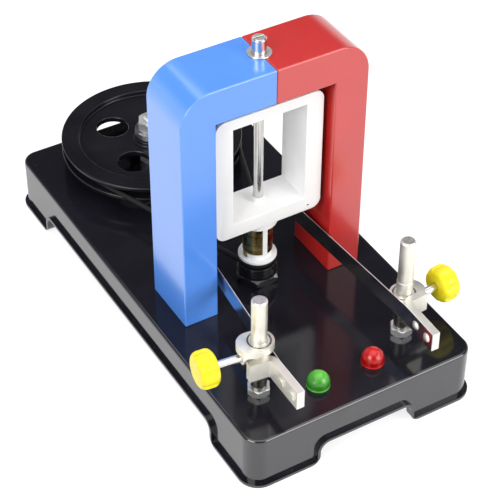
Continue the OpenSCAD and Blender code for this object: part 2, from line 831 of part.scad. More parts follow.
module coil_winding() {
    last = (wire_rings - 1) * wire_sides;
    color(copper) polyhedron(
        points = [for (k = [0 : wire_rings - 1], s = [0 : wire_sides - 1]) wire_point(k, s)],
        faces = concat(
            [for (k = [0 : wire_rings - 2], s = [0 : wire_sides - 1])
                [k * wire_sides + s, k * wire_sides + (s + 1) % wire_sides, (k + 1) * wire_sides + s]],
            [for (k = [0 : wire_rings - 2], s = [0 : wire_sides - 1])
                [k * wire_sides + (s + 1) % wire_sides, (k + 1) * wire_sides + (s + 1) % wire_sides,
                    (k + 1) * wire_sides + s]],
            [for (s = [1 : wire_sides - 2]) [0, s + 1, s]],
            [for (s = [1 : wire_sides - 2]) [last, last + s, last + s + 1]]
        )
    );
}

// Wheel, belt and crank

// Grooved wheel with a thinner web, four round holes, a hub and a boss for the crank
module drive_wheel() {
    color(black) translate([0, wheel_y, 0]) difference() {
        union() {
            rotate_extrude() difference() {
                union() {
                    translate([0, web_z]) square([wheel_r - rim_w + eps, web_t]);
                    translate([wheel_r - rim_w, wheel_z]) square([rim_w, wheel_t]);
                    translate([0, wheel_z]) square([hub_r, hub_top - wheel_z]);
                }
                belt_groove(wheel_belt_r, wheel_r);
            }
            rotate(crank_angle) translate([crank_r, 0, web_z])
                cylinder(r = crank_boss_r, h = web_t + crank_boss_h);
        }
        translate([0, 0, wheel_z - eps]) cylinder(r = axle_d / 2 + run, h = wheel_t + hub_rise + 2 * eps);
        for (i = [0 : 3]) rotate(wheel_hole_angle + 90 * i)
            translate([wheel_hole_r, 0, web_z - eps]) cylinder(d = wheel_hole_d, h = web_t + 2 * eps);
        rotate(crank_angle) translate([crank_r, 0, web_z - eps])
            cylinder(d = crank_thread_d + 2 * fit, h = web_t + crank_boss_h + 2 * eps);
    }
}

// Bolt from below: hexagon head under the top plate, round shank through nut and wheel
module wheel_axle() {
    chamfer = 0.8;
    shank = base_top_t + axle_stand;
    color(steel) translate([0, wheel_y, under]) {
        translate([0, 0, -axle_head_t]) linear_extrude(axle_head_t) hexagon(axle_nut_af);
        rotate_extrude() polygon([
            [0, 0], [axle_d / 2, 0], [axle_d / 2, shank - chamfer],
            [axle_d / 2 - chamfer, shank], [0, shank]
        ]);
    }
}

module axle_nut() {
    color(steel) translate([0, wheel_y, top]) hex_nut(axle_nut_af, axle_nut_t, axle_d / 2 + fit);
}

// Thin washers stacked between the hub and the nut
module wheel_washers() {
    color(steel) for (i = [0 : washer_count - 1])
        translate([0, wheel_y, hub_top + free + i * washer_step]) ring(washer_r, axle_d / 2 + fit, washer_t);
}

module wheel_nut() {
    color(steel) translate([0, wheel_y, washer_top])
        hex_nut(axle_nut_af, wheel_nut_t, axle_d / 2 + fit);
}

// Spindle screwed through the web, with a collar below and a head above the knob
module crank_spindle() {
    thread_r = crank_thread_d / 2;
    color(steel) translate([crank_x, crank_y, 0]) {
        translate([0, 0, web_z - crank_nut_t])
            cylinder(r = thread_r, h = crank_nut_t + web_t + crank_boss_h);
        translate([0, 0, crank_seat]) cylinder(r = crank_boss_r, h = crank_collar_t);
        translate([0, 0, crank_seat]) cylinder(d = spindle_d, h = crank_collar_t + knob_h + 2 * free);
        translate([0, 0, knob_z + knob_h + free]) cylinder(r = crank_head_r, h = crank_head_t);
    }
}

module crank_nut() {
    color(steel) translate([crank_x, crank_y, web_z - crank_nut_t])
        hex_nut(crank_nut_af, crank_nut_t, crank_thread_d / 2 + fit);
}

// Turned knob, narrow at the foot and full towards the top
module crank_knob() {
    foot_r = 0.7 * knob_d / 2;
    belly = 0.62 * knob_h;
    crown_r = 3;
    bulge_r = (belly * belly + pow(knob_d / 2 - foot_r, 2)) / (2 * (knob_d / 2 - foot_r));
    color(black) translate([crank_x, crank_y, knob_z]) difference() {
        rotate_extrude() intersection() {
            square([knob_d / 2, knob_h]);
            translate([knob_d / 2 - bulge_r, belly]) circle(bulge_r, $fn = 200);
            union() {
                square([knob_d, knob_h - crown_r]);
                square([knob_d / 2 - crown_r - 0.6, knob_h]);
                translate([knob_d / 2 - crown_r - 0.6, knob_h - crown_r]) circle(crown_r);
            }
        }
        translate([0, 0, -eps]) cylinder(d = spindle_d + 2 * run, h = knob_h + 2 * eps);
    }
}

// Open belt round wheel and pulley: two arcs and two straight runs, a hair thinner, that end inside the arcs
module drive_belt() {
    join = 0.4;
    run_d = belt_d - 0.04;
    color(black) translate([0, 0, belt_z]) {
        translate([0, wheel_y, 0]) rotate(-belt_lean)
            rotate_extrude(angle = 180 + 2 * belt_lean) translate([wheel_belt_r, 0]) circle(d = belt_d);
        translate([0, rotor_y, 0]) rotate(180 + belt_lean)
            rotate_extrude(angle = 180 - 2 * belt_lean) translate([pulley_belt_r, 0]) circle(d = belt_d);
        for (s = [-1, 1]) translate([0, rotor_y, 0]) rotate(-s * belt_lean)
            translate([s * pulley_belt_r, -join, 0]) rotate([-90, 0, 0])
                cylinder(d = run_d, h = belt_run + 2 * join);
    }
}

// Terminals

// Post with a thread below, a shoulder on its nut and a slightly thinner free end
module terminal_post(side) {
    chamfer = 0.8;
    free_z = max(eye_level(-1), eye_level(1)) + eye_t + free - top;
    free_r = post_r - post_step;
    thread_end = -base_top_t - post_nut_t - 1;
    color(nickel) translate([side * post_x(side), post_y, top]) rotate_extrude() polygon([
        [0, thread_end], [post_thread_d / 2, thread_end], [post_thread_d / 2, post_nut_t],
        [post_r, post_nut_t], [post_r, free_z], [free_r, free_z],
        [free_r, post_h - chamfer], [free_r - chamfer, post_h], [0, post_h]
    ]);
}

module terminal_post_left() {
    terminal_post(-1);
}

module terminal_post_right() {
    terminal_post(1);
}

module post_nuts() {
    color(nickel) for (s = [-1, 1]) translate([s * post_x(s), post_y, top])
        hex_nut(post_nut_af, post_nut_t, post_thread_d / 2 + fit);
}

module post_under_nuts() {
    color(steel) for (s = [-1, 1]) translate([s * post_x(s), post_y, under - post_nut_t])
        hex_nut(post_nut_af, post_nut_t, post_thread_d / 2 + fit);
}

// Brushes

// Sets a piece that is drawn round the left post's axis on its side, at the rest angle
module on_post(side) {
    mirror([side > 0 ? 1 : 0, 0, 0]) translate([-post_x(side), post_y, 0])
        rotate(-rest_angle(side)) children();
}

// Frame of the leaning arm: its inner face at x = 0, its bend at y = 0 and its free end at -held_l
module on_arm() {
    translate([arm_out, knee_y, 0]) rotate(arm_lean) children();
}

// Bent plate seen from above: a web in front of the post, a round bend and the leaning arm
module arm_plan() {
    knee = [arm_out, knee_y];
    end = knee + held_l * lean_along;
    translate([-web_out, web_mid - arm_t / 2]) square([bend_x + web_out, arm_t]);
    translate([bend_x, knee_y]) intersection() {
        difference() {
            circle(bend_out);
            circle(bend_r - arm_t / 2);
        }
        square(bend_r + arm_t);
    }
    polygon([knee, end, end - arm_t * lean_across, knee - [arm_t, 0]]);
}

// Eye seen from above: a round end on the post and another one over the clamp screw
module eye_plan() {
    circle(eye_r);
    translate([-eye_lug, 0]) circle(eye_r);
    translate([-eye_lug, -eye_r]) square([eye_lug, 2 * eye_r]);
}

// Round holes through arm and strip for the rivets
module rivet_holes() {
    on_arm() for (y = rivet_places) translate([-arm_t - eps, y, brush_z + brush_h / 2])
        rotate([0, 90, 0]) cylinder(r = rivet_r + fit, h = arm_t + brush_t + 2 * eps);
}

// Eye and clamp hub on the post, with the bent plate that carries the strip
module brush_bracket(side) {
    eye_z = eye_level(side);
    clamp_z = clamp_level(side);
    color(nickel) on_post(side) difference() {
        union() {
            translate([0, 0, eye_z]) linear_extrude(eye_t) difference() {
                eye_plan();
                if (eye_z < brush_top) translate([arm_out - free, -eye_r - eps]) square(2 * (eye_r + eps));
            }
            translate([0, 0, arm_z]) cylinder(r = clamp_hub_r, h = eye_z - arm_z);
            translate([0, 0, clamp_z]) rotate([0, -90, 0]) cylinder(r = clamp_boss_r, h = clamp_boss_x);
            translate([0, 0, arm_z]) linear_extrude(arm_h) arm_plan();
        }
        translate([0, 0, arm_z - eps]) cylinder(r = post_r + run, h = eye_z + eye_t - arm_z + 2 * eps);
        translate([0, 0, clamp_z]) rotate([0, -90, 0])
            cylinder(d = clamp_d + 2 * run, h = clamp_boss_x + eps);
        rivet_holes();
    }
}

module brush_bracket_left() {
    brush_bracket(-1);
}

module brush_bracket_right() {
    brush_bracket(1);
}

// Strip seen from above: the part held on the arm, a slight bend and the free part, a little too long
module strip_plan(reach) {
    knee = [arm_out, knee_y];
    end = knee + held_l * lean_along;
    polygon([
        [arm_out, reach + 1],
        knee,
        end,
        end + brush_t * lean_across,
        knee + brush_t * [1, tan(arm_lean / 2)],
        [arm_out + brush_t, reach + 1]
    ]);
}

// Strip seen from the side, with its round tip, a little too long at the arm's end
module strip_side(reach) {
    tip_r = 0.27 * brush_h;
    difference() {
        translate([-arm_l - 1, -brush_h / 2]) square([reach + arm_l + 1, brush_h]);
        for (s = [-1, 1]) translate([reach - tip_r, s * (brush_h / 2 - tip_r)]) difference() {
            translate([0, s > 0 ? 0 : -2 * tip_r]) square(2 * tip_r);
            circle(tip_r);
        }
    }
}

// Spring strip standing on edge
module brush_strip(side) {
    reach = strip_reach(side);
    color(steel) on_post(side) difference() {
        intersection() {
            translate([0, 0, brush_z - 1]) linear_extrude(brush_h + 2) strip_plan(reach);
            translate([0, 0, brush_z + brush_h / 2]) rotate([90, 0, 90])
                linear_extrude(2 * strip_in) strip_side(reach);
        }
        rivet_holes();
    }
}

module brush_strip_left() {
    brush_strip(-1);
}

module brush_strip_right() {
    brush_strip(1);
}

// Two rivets: a domed head on the strip and a flat one outside the arm
module brush_rivets(side) {
    dome_r = (rivet_head_r * rivet_head_r + rivet_head_t * rivet_head_t) / (2 * rivet_head_t);
    grip = arm_t + brush_t;
    tail_t = 0.8;
    color(nickel) on_post(side) on_arm() for (y = rivet_places)
        translate([-arm_t, y, brush_z + brush_h / 2]) rotate([0, 90, 0]) {
            cylinder(r = rivet_r, h = grip);
            translate([0, 0, -tail_t]) cylinder(r = rivet_head_r, h = tail_t);
            translate([0, 0, grip]) rotate_extrude() intersection() {
                translate([0, rivet_head_t - dome_r]) circle(dome_r);
                square([rivet_head_r, rivet_head_t]);
            }
        }
}

module brush_rivets_left() {
    brush_rivets(-1);
}

module brush_rivets_right() {
    brush_rivets(1);
}

clamp_grip = 0.7 * clamp_knob_t;

// Clamp screw from the post's side to inside the knob
module clamp_screw(side) {
    color(steel) on_post(side) translate([-post_r - free, 0, clamp_level(side)]) rotate([0, -90, 0])
        cylinder(d = clamp_d, h = clamp_knob_x(side) + clamp_grip - post_r - free);
}

module clamp_screw_left() {
    clamp_screw(-1);
}

module clamp_screw_right() {
    clamp_screw(1);
}

// Lobed knob: a scalloped disc with domed faces
module clamp_knob(side) {
    knob_r = clamp_knob_d / 2;
    scallop_r = 3;
    scallop_at = knob_r + 1.7;
    rim_r = clamp_knob_t * 0.32;
    place = [-clamp_knob_x(side), 0, clamp_level(side)];
    color(yellow) on_post(side) translate(place) rotate([0, -90, 0]) difference() {
        intersection() {
            linear_extrude(clamp_knob_t) difference() {
                circle(knob_r);
                for (i = [0 : clamp_lobes - 1]) rotate(360 * (i + 0.5) / clamp_lobes)
                    translate([scallop_at, 0]) circle(scallop_r);
            }
            rotate_extrude() {
                translate([0, rim_r]) square([knob_r, clamp_knob_t - 2 * rim_r]);
                square([knob_r - rim_r, clamp_knob_t]);
                for (z = [rim_r, clamp_knob_t - rim_r]) translate([knob_r - rim_r, z]) circle(rim_r);
            }
        }
        translate([0, 0, -eps]) cylinder(d = clamp_d + 2 * fit, h = clamp_grip + fit + eps);
    }
}

module clamp_knob_left() {
    clamp_knob(-1);
}

module clamp_knob_right() {
    clamp_knob(1);
}

// Lamps

lamp_y = -base_l / 2 + lamp_inset;
lamp_flange_t = 1.6;
lead_r = 0.35;
lead_pitch = 2.54;
lead_l = 9.5;
lead_in = 1;

// Domed lamp with a flange that stands on the base
module lamp(side) {
    dome_r = lamp_d / 2;
    translate([side * lamp_x, lamp_y, top]) difference() {
        rotate_extrude() {
            square([lamp_flange_d / 2, lamp_flange_t]);
            square([dome_r, lamp_h - dome_r]);
            translate([0, lamp_h - dome_r]) intersection() {
                circle(dome_r);
                square(dome_r);
            }
        }
        for (t = [-1, 1]) translate([t * lead_pitch / 2, 0, -eps])
            cylinder(r = lead_r + fit, h = lead_in + eps);
    }
}

module lamp_green() {
    color([0.25, 0.7, 0.2]) lamp(-1);
}

module lamp_red() {
    color([0.85, 0.1, 0.08]) lamp(1);
}

module lamp_leads() {
    color(steel) for (s = [-1, 1], t = [-1, 1])
        translate([s * lamp_x + t * lead_pitch / 2, lamp_y, top + lead_in - lead_l])
            cylinder(r = lead_r, h = lead_l);
}

base_shell();
magnet_cover_blue();
magnet_cover_red();
pole_magnet_blue();
pole_magnet_red();
leg_plug_blue();
leg_plug_red();
leg_screws();
pivot_bush();
pivot_screw();
lower_bearing();
bearing_nut();
rotor_shaft();
rotor_pulley();
commutator_core();
commutator_segment_left();
commutator_segment_right();
coil_former();
coil_core();
coil_winding();
drive_wheel();
wheel_axle();
axle_nut();
wheel_washers();
wheel_nut();
crank_spindle();
crank_nut();
crank_knob();
drive_belt();
terminal_post_left();
terminal_post_right();
post_nuts();
post_under_nuts();
brush_bracket_left();
brush_bracket_right();
brush_strip_left();
brush_strip_right();
brush_rivets_left();
brush_rivets_right();
clamp_screw_left();
clamp_screw_right();
clamp_knob_left();
clamp_knob_right();
lamp_green();
lamp_red();
lamp_leads();
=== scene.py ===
import bpy
import math
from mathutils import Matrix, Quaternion, Vector


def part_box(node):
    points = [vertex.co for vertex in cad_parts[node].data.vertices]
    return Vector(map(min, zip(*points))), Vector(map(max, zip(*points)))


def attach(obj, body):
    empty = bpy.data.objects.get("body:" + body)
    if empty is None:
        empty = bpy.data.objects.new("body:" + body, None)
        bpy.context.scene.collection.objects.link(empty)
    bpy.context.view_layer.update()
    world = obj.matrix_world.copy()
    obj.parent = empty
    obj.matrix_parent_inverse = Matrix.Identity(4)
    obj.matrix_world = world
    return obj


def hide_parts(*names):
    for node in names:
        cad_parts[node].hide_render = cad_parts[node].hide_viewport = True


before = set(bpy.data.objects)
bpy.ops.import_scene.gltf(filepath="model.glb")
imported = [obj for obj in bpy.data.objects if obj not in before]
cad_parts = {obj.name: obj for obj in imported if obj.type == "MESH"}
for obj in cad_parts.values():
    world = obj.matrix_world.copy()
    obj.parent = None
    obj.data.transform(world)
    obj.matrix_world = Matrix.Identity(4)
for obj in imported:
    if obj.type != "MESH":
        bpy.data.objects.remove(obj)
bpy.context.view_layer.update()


# Camera
# A long lens looks down on the model from the front left, over the blue leg towards the lamps.
# It is rolled a little, as a camera on a tripod that isn't quite level.
mm = 0.001
camera_at = Vector((-320.2, -553.6, 580.1)) * mm
camera_aim = Vector((-20.8, -52.0, 74.0)) * mm
camera_roll = math.radians(0.31)
lens = bpy.data.cameras.new("photo_lens")
lens.sensor_width = 36
lens.lens = 120.9
camera = bpy.data.objects.new("photo_camera", lens)
bpy.context.scene.collection.objects.link(camera)
camera.location = camera_at
camera.rotation_mode = "QUATERNION"
level = (camera_aim - camera_at).to_track_quat("-Z", "Y")
camera.rotation_quaternion = level @ Quaternion((0, 0, 1), camera_roll)
bpy.context.scene.camera = camera
bpy.context.scene.view_settings.view_transform = "Standard"


# Studio
# A white sweep of paper lies under the model, and the room above it is dark so that black gloss stays black.
# One wide soft box hangs overhead, a key light stands front left and a weaker fill front right.
def rays_that_see_paper(nodes, links):
    path = nodes.new("ShaderNodeLightPath")
    seen = nodes.new("ShaderNodeMath")
    seen.operation = "MAXIMUM"
    links.new(path.outputs["Is Camera Ray"], seen.inputs[0])
    links.new(path.outputs["Is Glossy Ray"], seen.inputs[1])
    either = nodes.new("ShaderNodeMath")
    either.operation = "MAXIMUM"
    links.new(seen.outputs["Value"], either.inputs[0])
    links.new(path.outputs["Is Transmission Ray"], either.inputs[1])
    return either.outputs["Value"]


paper_size = 8
paper_drop = 0.0003
paper_grey = (0.38, 0.38, 0.38, 1)
paper_shine = 0.78
bpy.ops.object.select_all(action="DESELECT")
bpy.ops.mesh.primitive_plane_add(size=paper_size, location=(0, 0, -paper_drop))
paper = bpy.context.object
paper.name = "paper_floor"
paper_white = bpy.data.materials.new("paper_white")
paper_white.use_nodes = True
paper_tree = paper_white.node_tree
paper_tree.nodes.remove(paper_tree.nodes["Principled BSDF"])
paper_matt = paper_tree.nodes.new("ShaderNodeBsdfDiffuse")
paper_matt.inputs["Color"].default_value = paper_grey
paper_glow = paper_tree.nodes.new("ShaderNodeEmission")
paper_level = paper_tree.nodes.new("ShaderNodeMath")
paper_level.operation = "MULTIPLY"
paper_level.inputs[1].default_value = paper_shine
paper_seen = rays_that_see_paper(paper_tree.nodes, paper_tree.links)
paper_tree.links.new(paper_seen, paper_level.inputs[0])
paper_tree.links.new(paper_level.outputs["Value"], paper_glow.inputs["Strength"])
paper_sum = paper_tree.nodes.new("ShaderNodeAddShader")
paper_tree.links.new(paper_matt.outputs["BSDF"], paper_sum.inputs[0])
paper_tree.links.new(paper_glow.outputs["Emission"], paper_sum.inputs[1])
paper_tree.links.new(paper_sum.outputs["Shader"], paper_tree.nodes["Material Output"].inputs["Surface"])
paper.data.materials.append(paper_white)

room = bpy.data.worlds.new("studio_room")
bpy.context.scene.world = room
room.use_nodes = True
room_tree = room.node_tree
room_light = room_tree.nodes["Background"]
room_coords = room_tree.nodes.new("ShaderNodeTexCoord")
room_parts = room_tree.nodes.new("ShaderNodeSeparateXYZ")
room_tree.links.new(room_coords.outputs["Generated"], room_parts.inputs["Vector"])
room_height = room_tree.nodes.new("ShaderNodeValToRGB")
room_height.color_ramp.elements[0].position = 0.16
room_height.color_ramp.elements[0].color = (0.95, 0.95, 0.95, 1)
room_height.color_ramp.elements[1].position = 0.42
room_height.color_ramp.elements[1].color = (0.10, 0.10, 0.115, 1)
room_tree.links.new(room_parts.outputs["Z"], room_height.inputs["Fac"])
room_path = room_tree.nodes.new("ShaderNodeLightPath")
room_mix = room_tree.nodes.new("ShaderNodeMixRGB")
room_mix.inputs["Color2"].default_value = (1, 1, 1, 1)
room_tree.links.new(room_path.outputs["Is Camera Ray"], room_mix.inputs["Fac"])
room_tree.links.new(room_height.outputs["Color"], room_mix.inputs["Color1"])
room_tree.links.new(room_mix.outputs["Color"], room_light.inputs["Color"])

lights_aim = Vector((0, -0.03, 0.05))
for name, place, size, power in (
    ("overhead_box", (0.05, 0.05, 1.15), 1.5, 12),
    ("key_light", (-1.3, -0.5, 0.9), 1.0, 19),
    ("fill_light", (0.7, -1.25, 0.7), 1.0, 16.5),
):
    lamp = bpy.data.lights.new(name, "AREA")
    lamp.size = size
    lamp.energy = power
    stand = bpy.data.objects.new(name, lamp)
    stand.location = place
    stand.rotation_euler = (lights_aim - Vector(place)).to_track_quat("-Z", "Y").to_euler()
    bpy.context.scene.collection.objects.link(stand)


# Base
# A tray of black plastic sheet, formed over a mould with its gloss side out, with four feet and a rim.
# Its faces are slightly wavy from forming, and fine dust lies on the top.
def softened(node, body, edge, steps=2, sharp=35):
    piece = bpy.data.objects.new(node + "_finish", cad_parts[node].data.copy())
    bpy.context.scene.collection.objects.link(piece)
    bpy.ops.object.select_all(action="DESELECT")
    piece.select_set(True)
    bpy.context.view_layer.objects.active = piece
    bpy.ops.object.mode_set(mode="EDIT")
    bpy.ops.mesh.select_all(action="SELECT")
    bpy.ops.mesh.remove_doubles(threshold=0.000002)
    bpy.ops.mesh.dissolve_limited(angle_limit=math.radians(0.8))
    bpy.ops.object.mode_set(mode="OBJECT")
    piece.data.materials.clear()
    if edge:
        rounding = piece.modifiers.new("edge", "BEVEL")
        rounding.width = edge * mm
        rounding.segments = steps
        rounding.limit_method = "ANGLE"
        rounding.angle_limit = math.radians(sharp)
        bpy.ops.object.modifier_apply(modifier="edge")
    bpy.ops.object.shade_smooth_by_angle(angle=math.radians(sharp))
    flat = piece.modifiers.new("flat", "WEIGHTED_NORMAL")
    flat.keep_sharp = True
    bpy.ops.object.modifier_apply(modifier="flat")
    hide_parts(node)
    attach(piece, body)
    return piece


def sockets(made):
    return made.node_tree.nodes["Principled BSDF"].inputs


def set_levels(made, levels):
    for socket, value in levels.items():
        sockets(made)[socket].default_value = value


def finish(name, colour, rough, metallic=0.0, ior=1.5):
    made = bpy.data.materials.new(name)
    made.use_nodes = True
    set_levels(made, {"Base Color": (*colour, 1), "Roughness": rough, "Metallic": metallic, "IOR": ior})
    return made


def noise(made, scale, stretch=(1, 1, 1), detail=3.0):
    nodes = made.node_tree.nodes
    links = made.node_tree.links
    coords = nodes.new("ShaderNodeTexCoord")
    mapping = nodes.new("ShaderNodeMapping")
    mapping.inputs["Scale"].default_value = stretch
    texture = nodes.new("ShaderNodeTexNoise")
    texture.inputs["Scale"].default_value = scale
    texture.inputs["Detail"].default_value = detail
    links.new(coords.outputs["Object"], mapping.inputs["Vector"])
    links.new(mapping.outputs["Vector"], texture.inputs["Vector"])
    return texture.outputs["Fac"]


def tint(made, value, dark, light, start=0.3, end=0.7):
    ramp = made.node_tree.nodes.new("ShaderNodeValToRGB")
    ramp.color_ramp.elements[0].position = start
    ramp.color_ramp.elements[0].color = (*dark, 1)
    ramp.color_ramp.elements[1].position = end
    ramp.color_ramp.elements[1].color = (*light, 1)
    made.node_tree.links.new(value, ramp.inputs["Fac"])
    made.node_tree.links.new(ramp.outputs["Color"], sockets(made)["Base Color"])


def specks(made, value, colour, start, end, most):
    nodes = made.node_tree.nodes
    links = made.node_tree.links
    under = sockets(made)["Base Color"].links[0].from_socket
    share = nodes.new("ShaderNodeMapRange")
    share.inputs["From Min"].default_value = start
    share.inputs["From Max"].default_value = end
    share.inputs["To Max"].default_value = most
    links.new(value, share.inputs["Value"])
    blend = nodes.new("ShaderNodeMixRGB")
    blend.inputs["Color2"].default_value = (*colour, 1)
    links.new(share.outputs["Result"], blend.inputs["Fac"])
    links.new(under, blend.inputs["Color1"])
    links.new(blend.outputs["Color"], sockets(made)["Base Color"])


def polish(made, value, smooth, rough, start=0.3, end=0.7):
    spread = made.node_tree.nodes.new("ShaderNodeMapRange")
    spread.inputs["From Min"].default_value = start
    spread.inputs["From Max"].default_value = end
    spread.inputs["To Min"].default_value = smooth
    spread.inputs["To Max"].default_value = rough
    made.node_tree.links.new(value, spread.inputs["Value"])
    made.node_tree.links.new(spread.outputs["Result"], sockets(made)["Roughness"])


def relief(made, value, depth, strength=1.0):
    normal = sockets(made)["Normal"]
    bump = made.node_tree.nodes.new("ShaderNodeBump")
    bump.inputs["Strength"].default_value = strength
    bump.inputs["Distance"].default_value = depth * mm
    made.node_tree.links.new(value, bump.inputs["Height"])
    if normal.is_linked:
        made.node_tree.links.new(normal.links[0].from_socket, bump.inputs["Normal"])
    made.node_tree.links.new(bump.outputs["Normal"], normal)


dust_grey = (0.16, 0.16, 0.17)
dust_scale = 1300
black_gloss = finish("black_gloss", (0.012, 0.012, 0.016), 0.1, ior=1.6)
set_levels(black_gloss, {"Specular IOR Level": 0.7, "Coat Weight": 0.15, "Coat Roughness": 0.03})
gloss_cloud = noise(black_gloss, 55)
tint(black_gloss, gloss_cloud, (0.007, 0.007, 0.010), (0.013, 0.012, 0.018))
specks(black_gloss, noise(black_gloss, dust_scale, detail=1.0), dust_grey, 0.74, 0.80, 0.8)
polish(black_gloss, gloss_cloud, 0.06, 0.13)
relief(black_gloss, noise(black_gloss, 38, detail=1.0), 0.10)
black_top = finish("black_top", (0.008, 0.008, 0.011), 0.3)
set_levels(black_top, {"Specular IOR Level": 0.42})
top_cloud = noise(black_top, 40)
tint(black_top, top_cloud, (0.007, 0.007, 0.010), (0.011, 0.010, 0.015))
specks(black_top, noise(black_top, dust_scale, detail=1.0), dust_grey, 0.75, 0.81, 0.8)
polish(black_top, top_cloud, 0.10, 0.16)
base = softened("base_shell", "base", 0.35, 2, 40)
base.data.materials.append(black_gloss)
base.data.materials.append(black_top)
plate_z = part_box("base_shell")[1].z
for face in base.data.polygons:
    if face.normal.z > 0.99 and face.center.z > plate_z - 0.1 * mm:
        face.material_index = 1


# Magnet covers
# Two satin mouldings, blue and red, butt together over the crosspiece and hide the ceramic magnets.
# Their edges are rounded by the mould, and the skin has a very fine texture.
def moulded(name, dark, light, smooth, rough, ior=1.5, cloud=28, skin=650, skin_depth=0.003):
    made = finish(name, light, rough, ior=ior)
    flow = noise(made, cloud, detail=4.0)
    tint(made, flow, dark, light)
    polish(made, flow, smooth, rough)
    relief(made, noise(made, skin, detail=2.0), skin_depth, 0.6)
    return made


blue_satin = moulded("blue_satin", (0.077, 0.265, 0.82), (0.092, 0.29, 0.87), 0.30, 0.38)
red_satin = moulded("red_satin", (0.50, 0.014, 0.012), (0.56, 0.020, 0.016), 0.30, 0.38)
for half, satin in (("blue", blue_satin), ("red", red_satin)):
    set_levels(satin, {"Coat Weight": 0.9, "Coat IOR": 1.7, "Coat Roughness": 0.17})
    cover = softened("magnet_cover_" + half, "base", 0.7, 3)
    cover.data.materials.append(satin)


# Inside of the legs
# Grey ceramic blocks are the magnets, and pale plugs close the legs from below.
# Zinc plated pan head screws come up through the base into the plugs.
def metal(name, dark, light, smooth, rough, cloud=150, lines=None, line_scale=2600, line_depth=0.004):
    made = finish(name, light, rough, 1.0)
    cloud_value = noise(made, cloud, detail=5.0)
    tint(made, cloud_value, dark, light)
    polish(made, cloud_value, smooth, rough)
    if lines:
        relief(made, noise(made, line_scale, lines, detail=1.0), line_depth, 0.7)
    return made


ferrite_grey = moulded(
    "ferrite_grey", (0.05, 0.05, 0.052), (0.075, 0.075, 0.078), 0.6, 0.75,
    cloud=120, skin=900, skin_depth=0.05,
)
plug_white = moulded("plug_white", (0.62, 0.62, 0.60), (0.70, 0.70, 0.68), 0.4, 0.5)
for node, look, slot in (
    ("pole_magnet_blue", ferrite_grey, "ferrite"),
    ("pole_magnet_red", ferrite_grey, "ferrite"),
    ("leg_plug_blue", plug_white, "white_plastic"),
    ("leg_plug_red", plug_white, "white_plastic"),
):
    inside = softened(node, "base", 0.4, 1)
    inside.data.materials.append(look)
zinc_plate = metal("zinc_plate", (0.52, 0.53, 0.55), (0.66, 0.66, 0.67), 0.24, 0.38)
screws = softened("leg_screws", "base", 0.5, 3)
screws.data.materials.append(zinc_plate)


# Pivot on top
# A turned steel bush is pressed through the crosspiece, with a thin flange on top.
# A slotted screw stands in it, and its hollow lower end holds the top of the shaft.
# Gives the faces that point up their own material; the lighter or darker metals given this way paint light
# or shade onto the tops.
def faces_up(piece, look):
    piece.data.materials.append(look)
    for face in piece.data.polygons:
        if face.normal.z > 0.85:
            face.material_index = len(piece.data.materials) - 1


turned_steel = metal(
    "turned_steel", (0.60, 0.60, 0.60), (0.74, 0.73, 0.71), 0.16, 0.28,
    cloud=120, lines=(0.05, 0.05, 1), line_scale=3000,
)
# Painted highlight: the faces that point up get a lighter steel than the turned sides.
steel_tops_painted_highlight = metal("steel_tops_painted_highlight", (0.66, 0.66, 0.65), (0.80, 0.79, 0.77), 0.36, 0.44, cloud=200)
for node, edge in (("pivot_bush", 0.2), ("pivot_screw", 0.18)):
    turned_piece = softened(node, "base", edge)
    turned_piece.data.materials.append(turned_steel)
    faces_up(turned_piece, steel_tops_painted_highlight)


# Shaft and its lower bearing
# The ground steel shaft stands in a closed brass bush that comes up through the base.
# A black plastic nut draws the bush's flange against the underside.
brass_turned = metal(
    "brass_turned", (0.34, 0.24, 0.075), (0.56, 0.41, 0.15), 0.22, 0.40,
    cloud=260, lines=(0.03, 0.03, 1),
)
black_mould = moulded(
    "black_mould", (0.008, 0.008, 0.010), (0.014, 0.014, 0.017), 0.12, 0.22,
    ior=1.52, cloud=60, skin=700, skin_depth=0.004,
)
set_levels(black_mould, {"Coat Weight": 0.7, "Coat Roughness": 0.05})
shaft = softened("rotor_shaft", "rotor", 0.15)
shaft.data.materials.append(turned_steel)
bearing = softened("lower_bearing", "base", 0.2)
bearing.data.materials.append(brass_turned)
bearing_nut = softened("bearing_nut", "base", 0.25)
bearing_nut.data.materials.append(black_mould)


# Pulley and commutator
# A small grooved pulley and a white spool are pressed on the shaft, with two brass half shells on the spool.
# The brushes have worn bright bands into the brass, and its tongues run down to the lower flange.
white_mould = moulded(
    "white_mould", (0.86, 0.855, 0.84), (0.91, 0.91, 0.90), 0.30, 0.42,
    cloud=45, skin=600, skin_depth=0.002,
)
pulley = softened("rotor_pulley", "rotor", 0.2)
pulley.data.materials.append(black_mould)
spool = softened("commutator_core", "rotor", 0.25)
spool.data.materials.append(white_mould)
brass_worn = metal(
    "brass_worn", (0.22, 0.155, 0.045), (0.60, 0.45, 0.17), 0.20, 0.42,
    cloud=190, lines=(0.02, 0.02, 1), line_scale=2400,
)
worn_band = noise(brass_worn, 420, (0.08, 0.08, 1), detail=2.0)
specks(brass_worn, worn_band, (0.15, 0.10, 0.03), 0.52, 0.66, 0.7)
for side in ("left", "right"):
    segment = softened("commutator_segment_" + side, "rotor", 0.15)
    segment.data.materials.append(brass_worn)


# Coil former
# A white moulding: two flanges with a tube between them round the window, and bosses that grip the shaft.
# A small hole in the front flange leads the end of the wire out.
def cut_away(piece, tool):
    cut = piece.modifiers.new("cut", "BOOLEAN")
    cut.operation = "DIFFERENCE"
    cut.object = tool
    bpy.context.view_layer.objects.active = piece
    bpy.ops.object.modifier_apply(modifier="cut")
    bpy.data.objects.remove(tool)


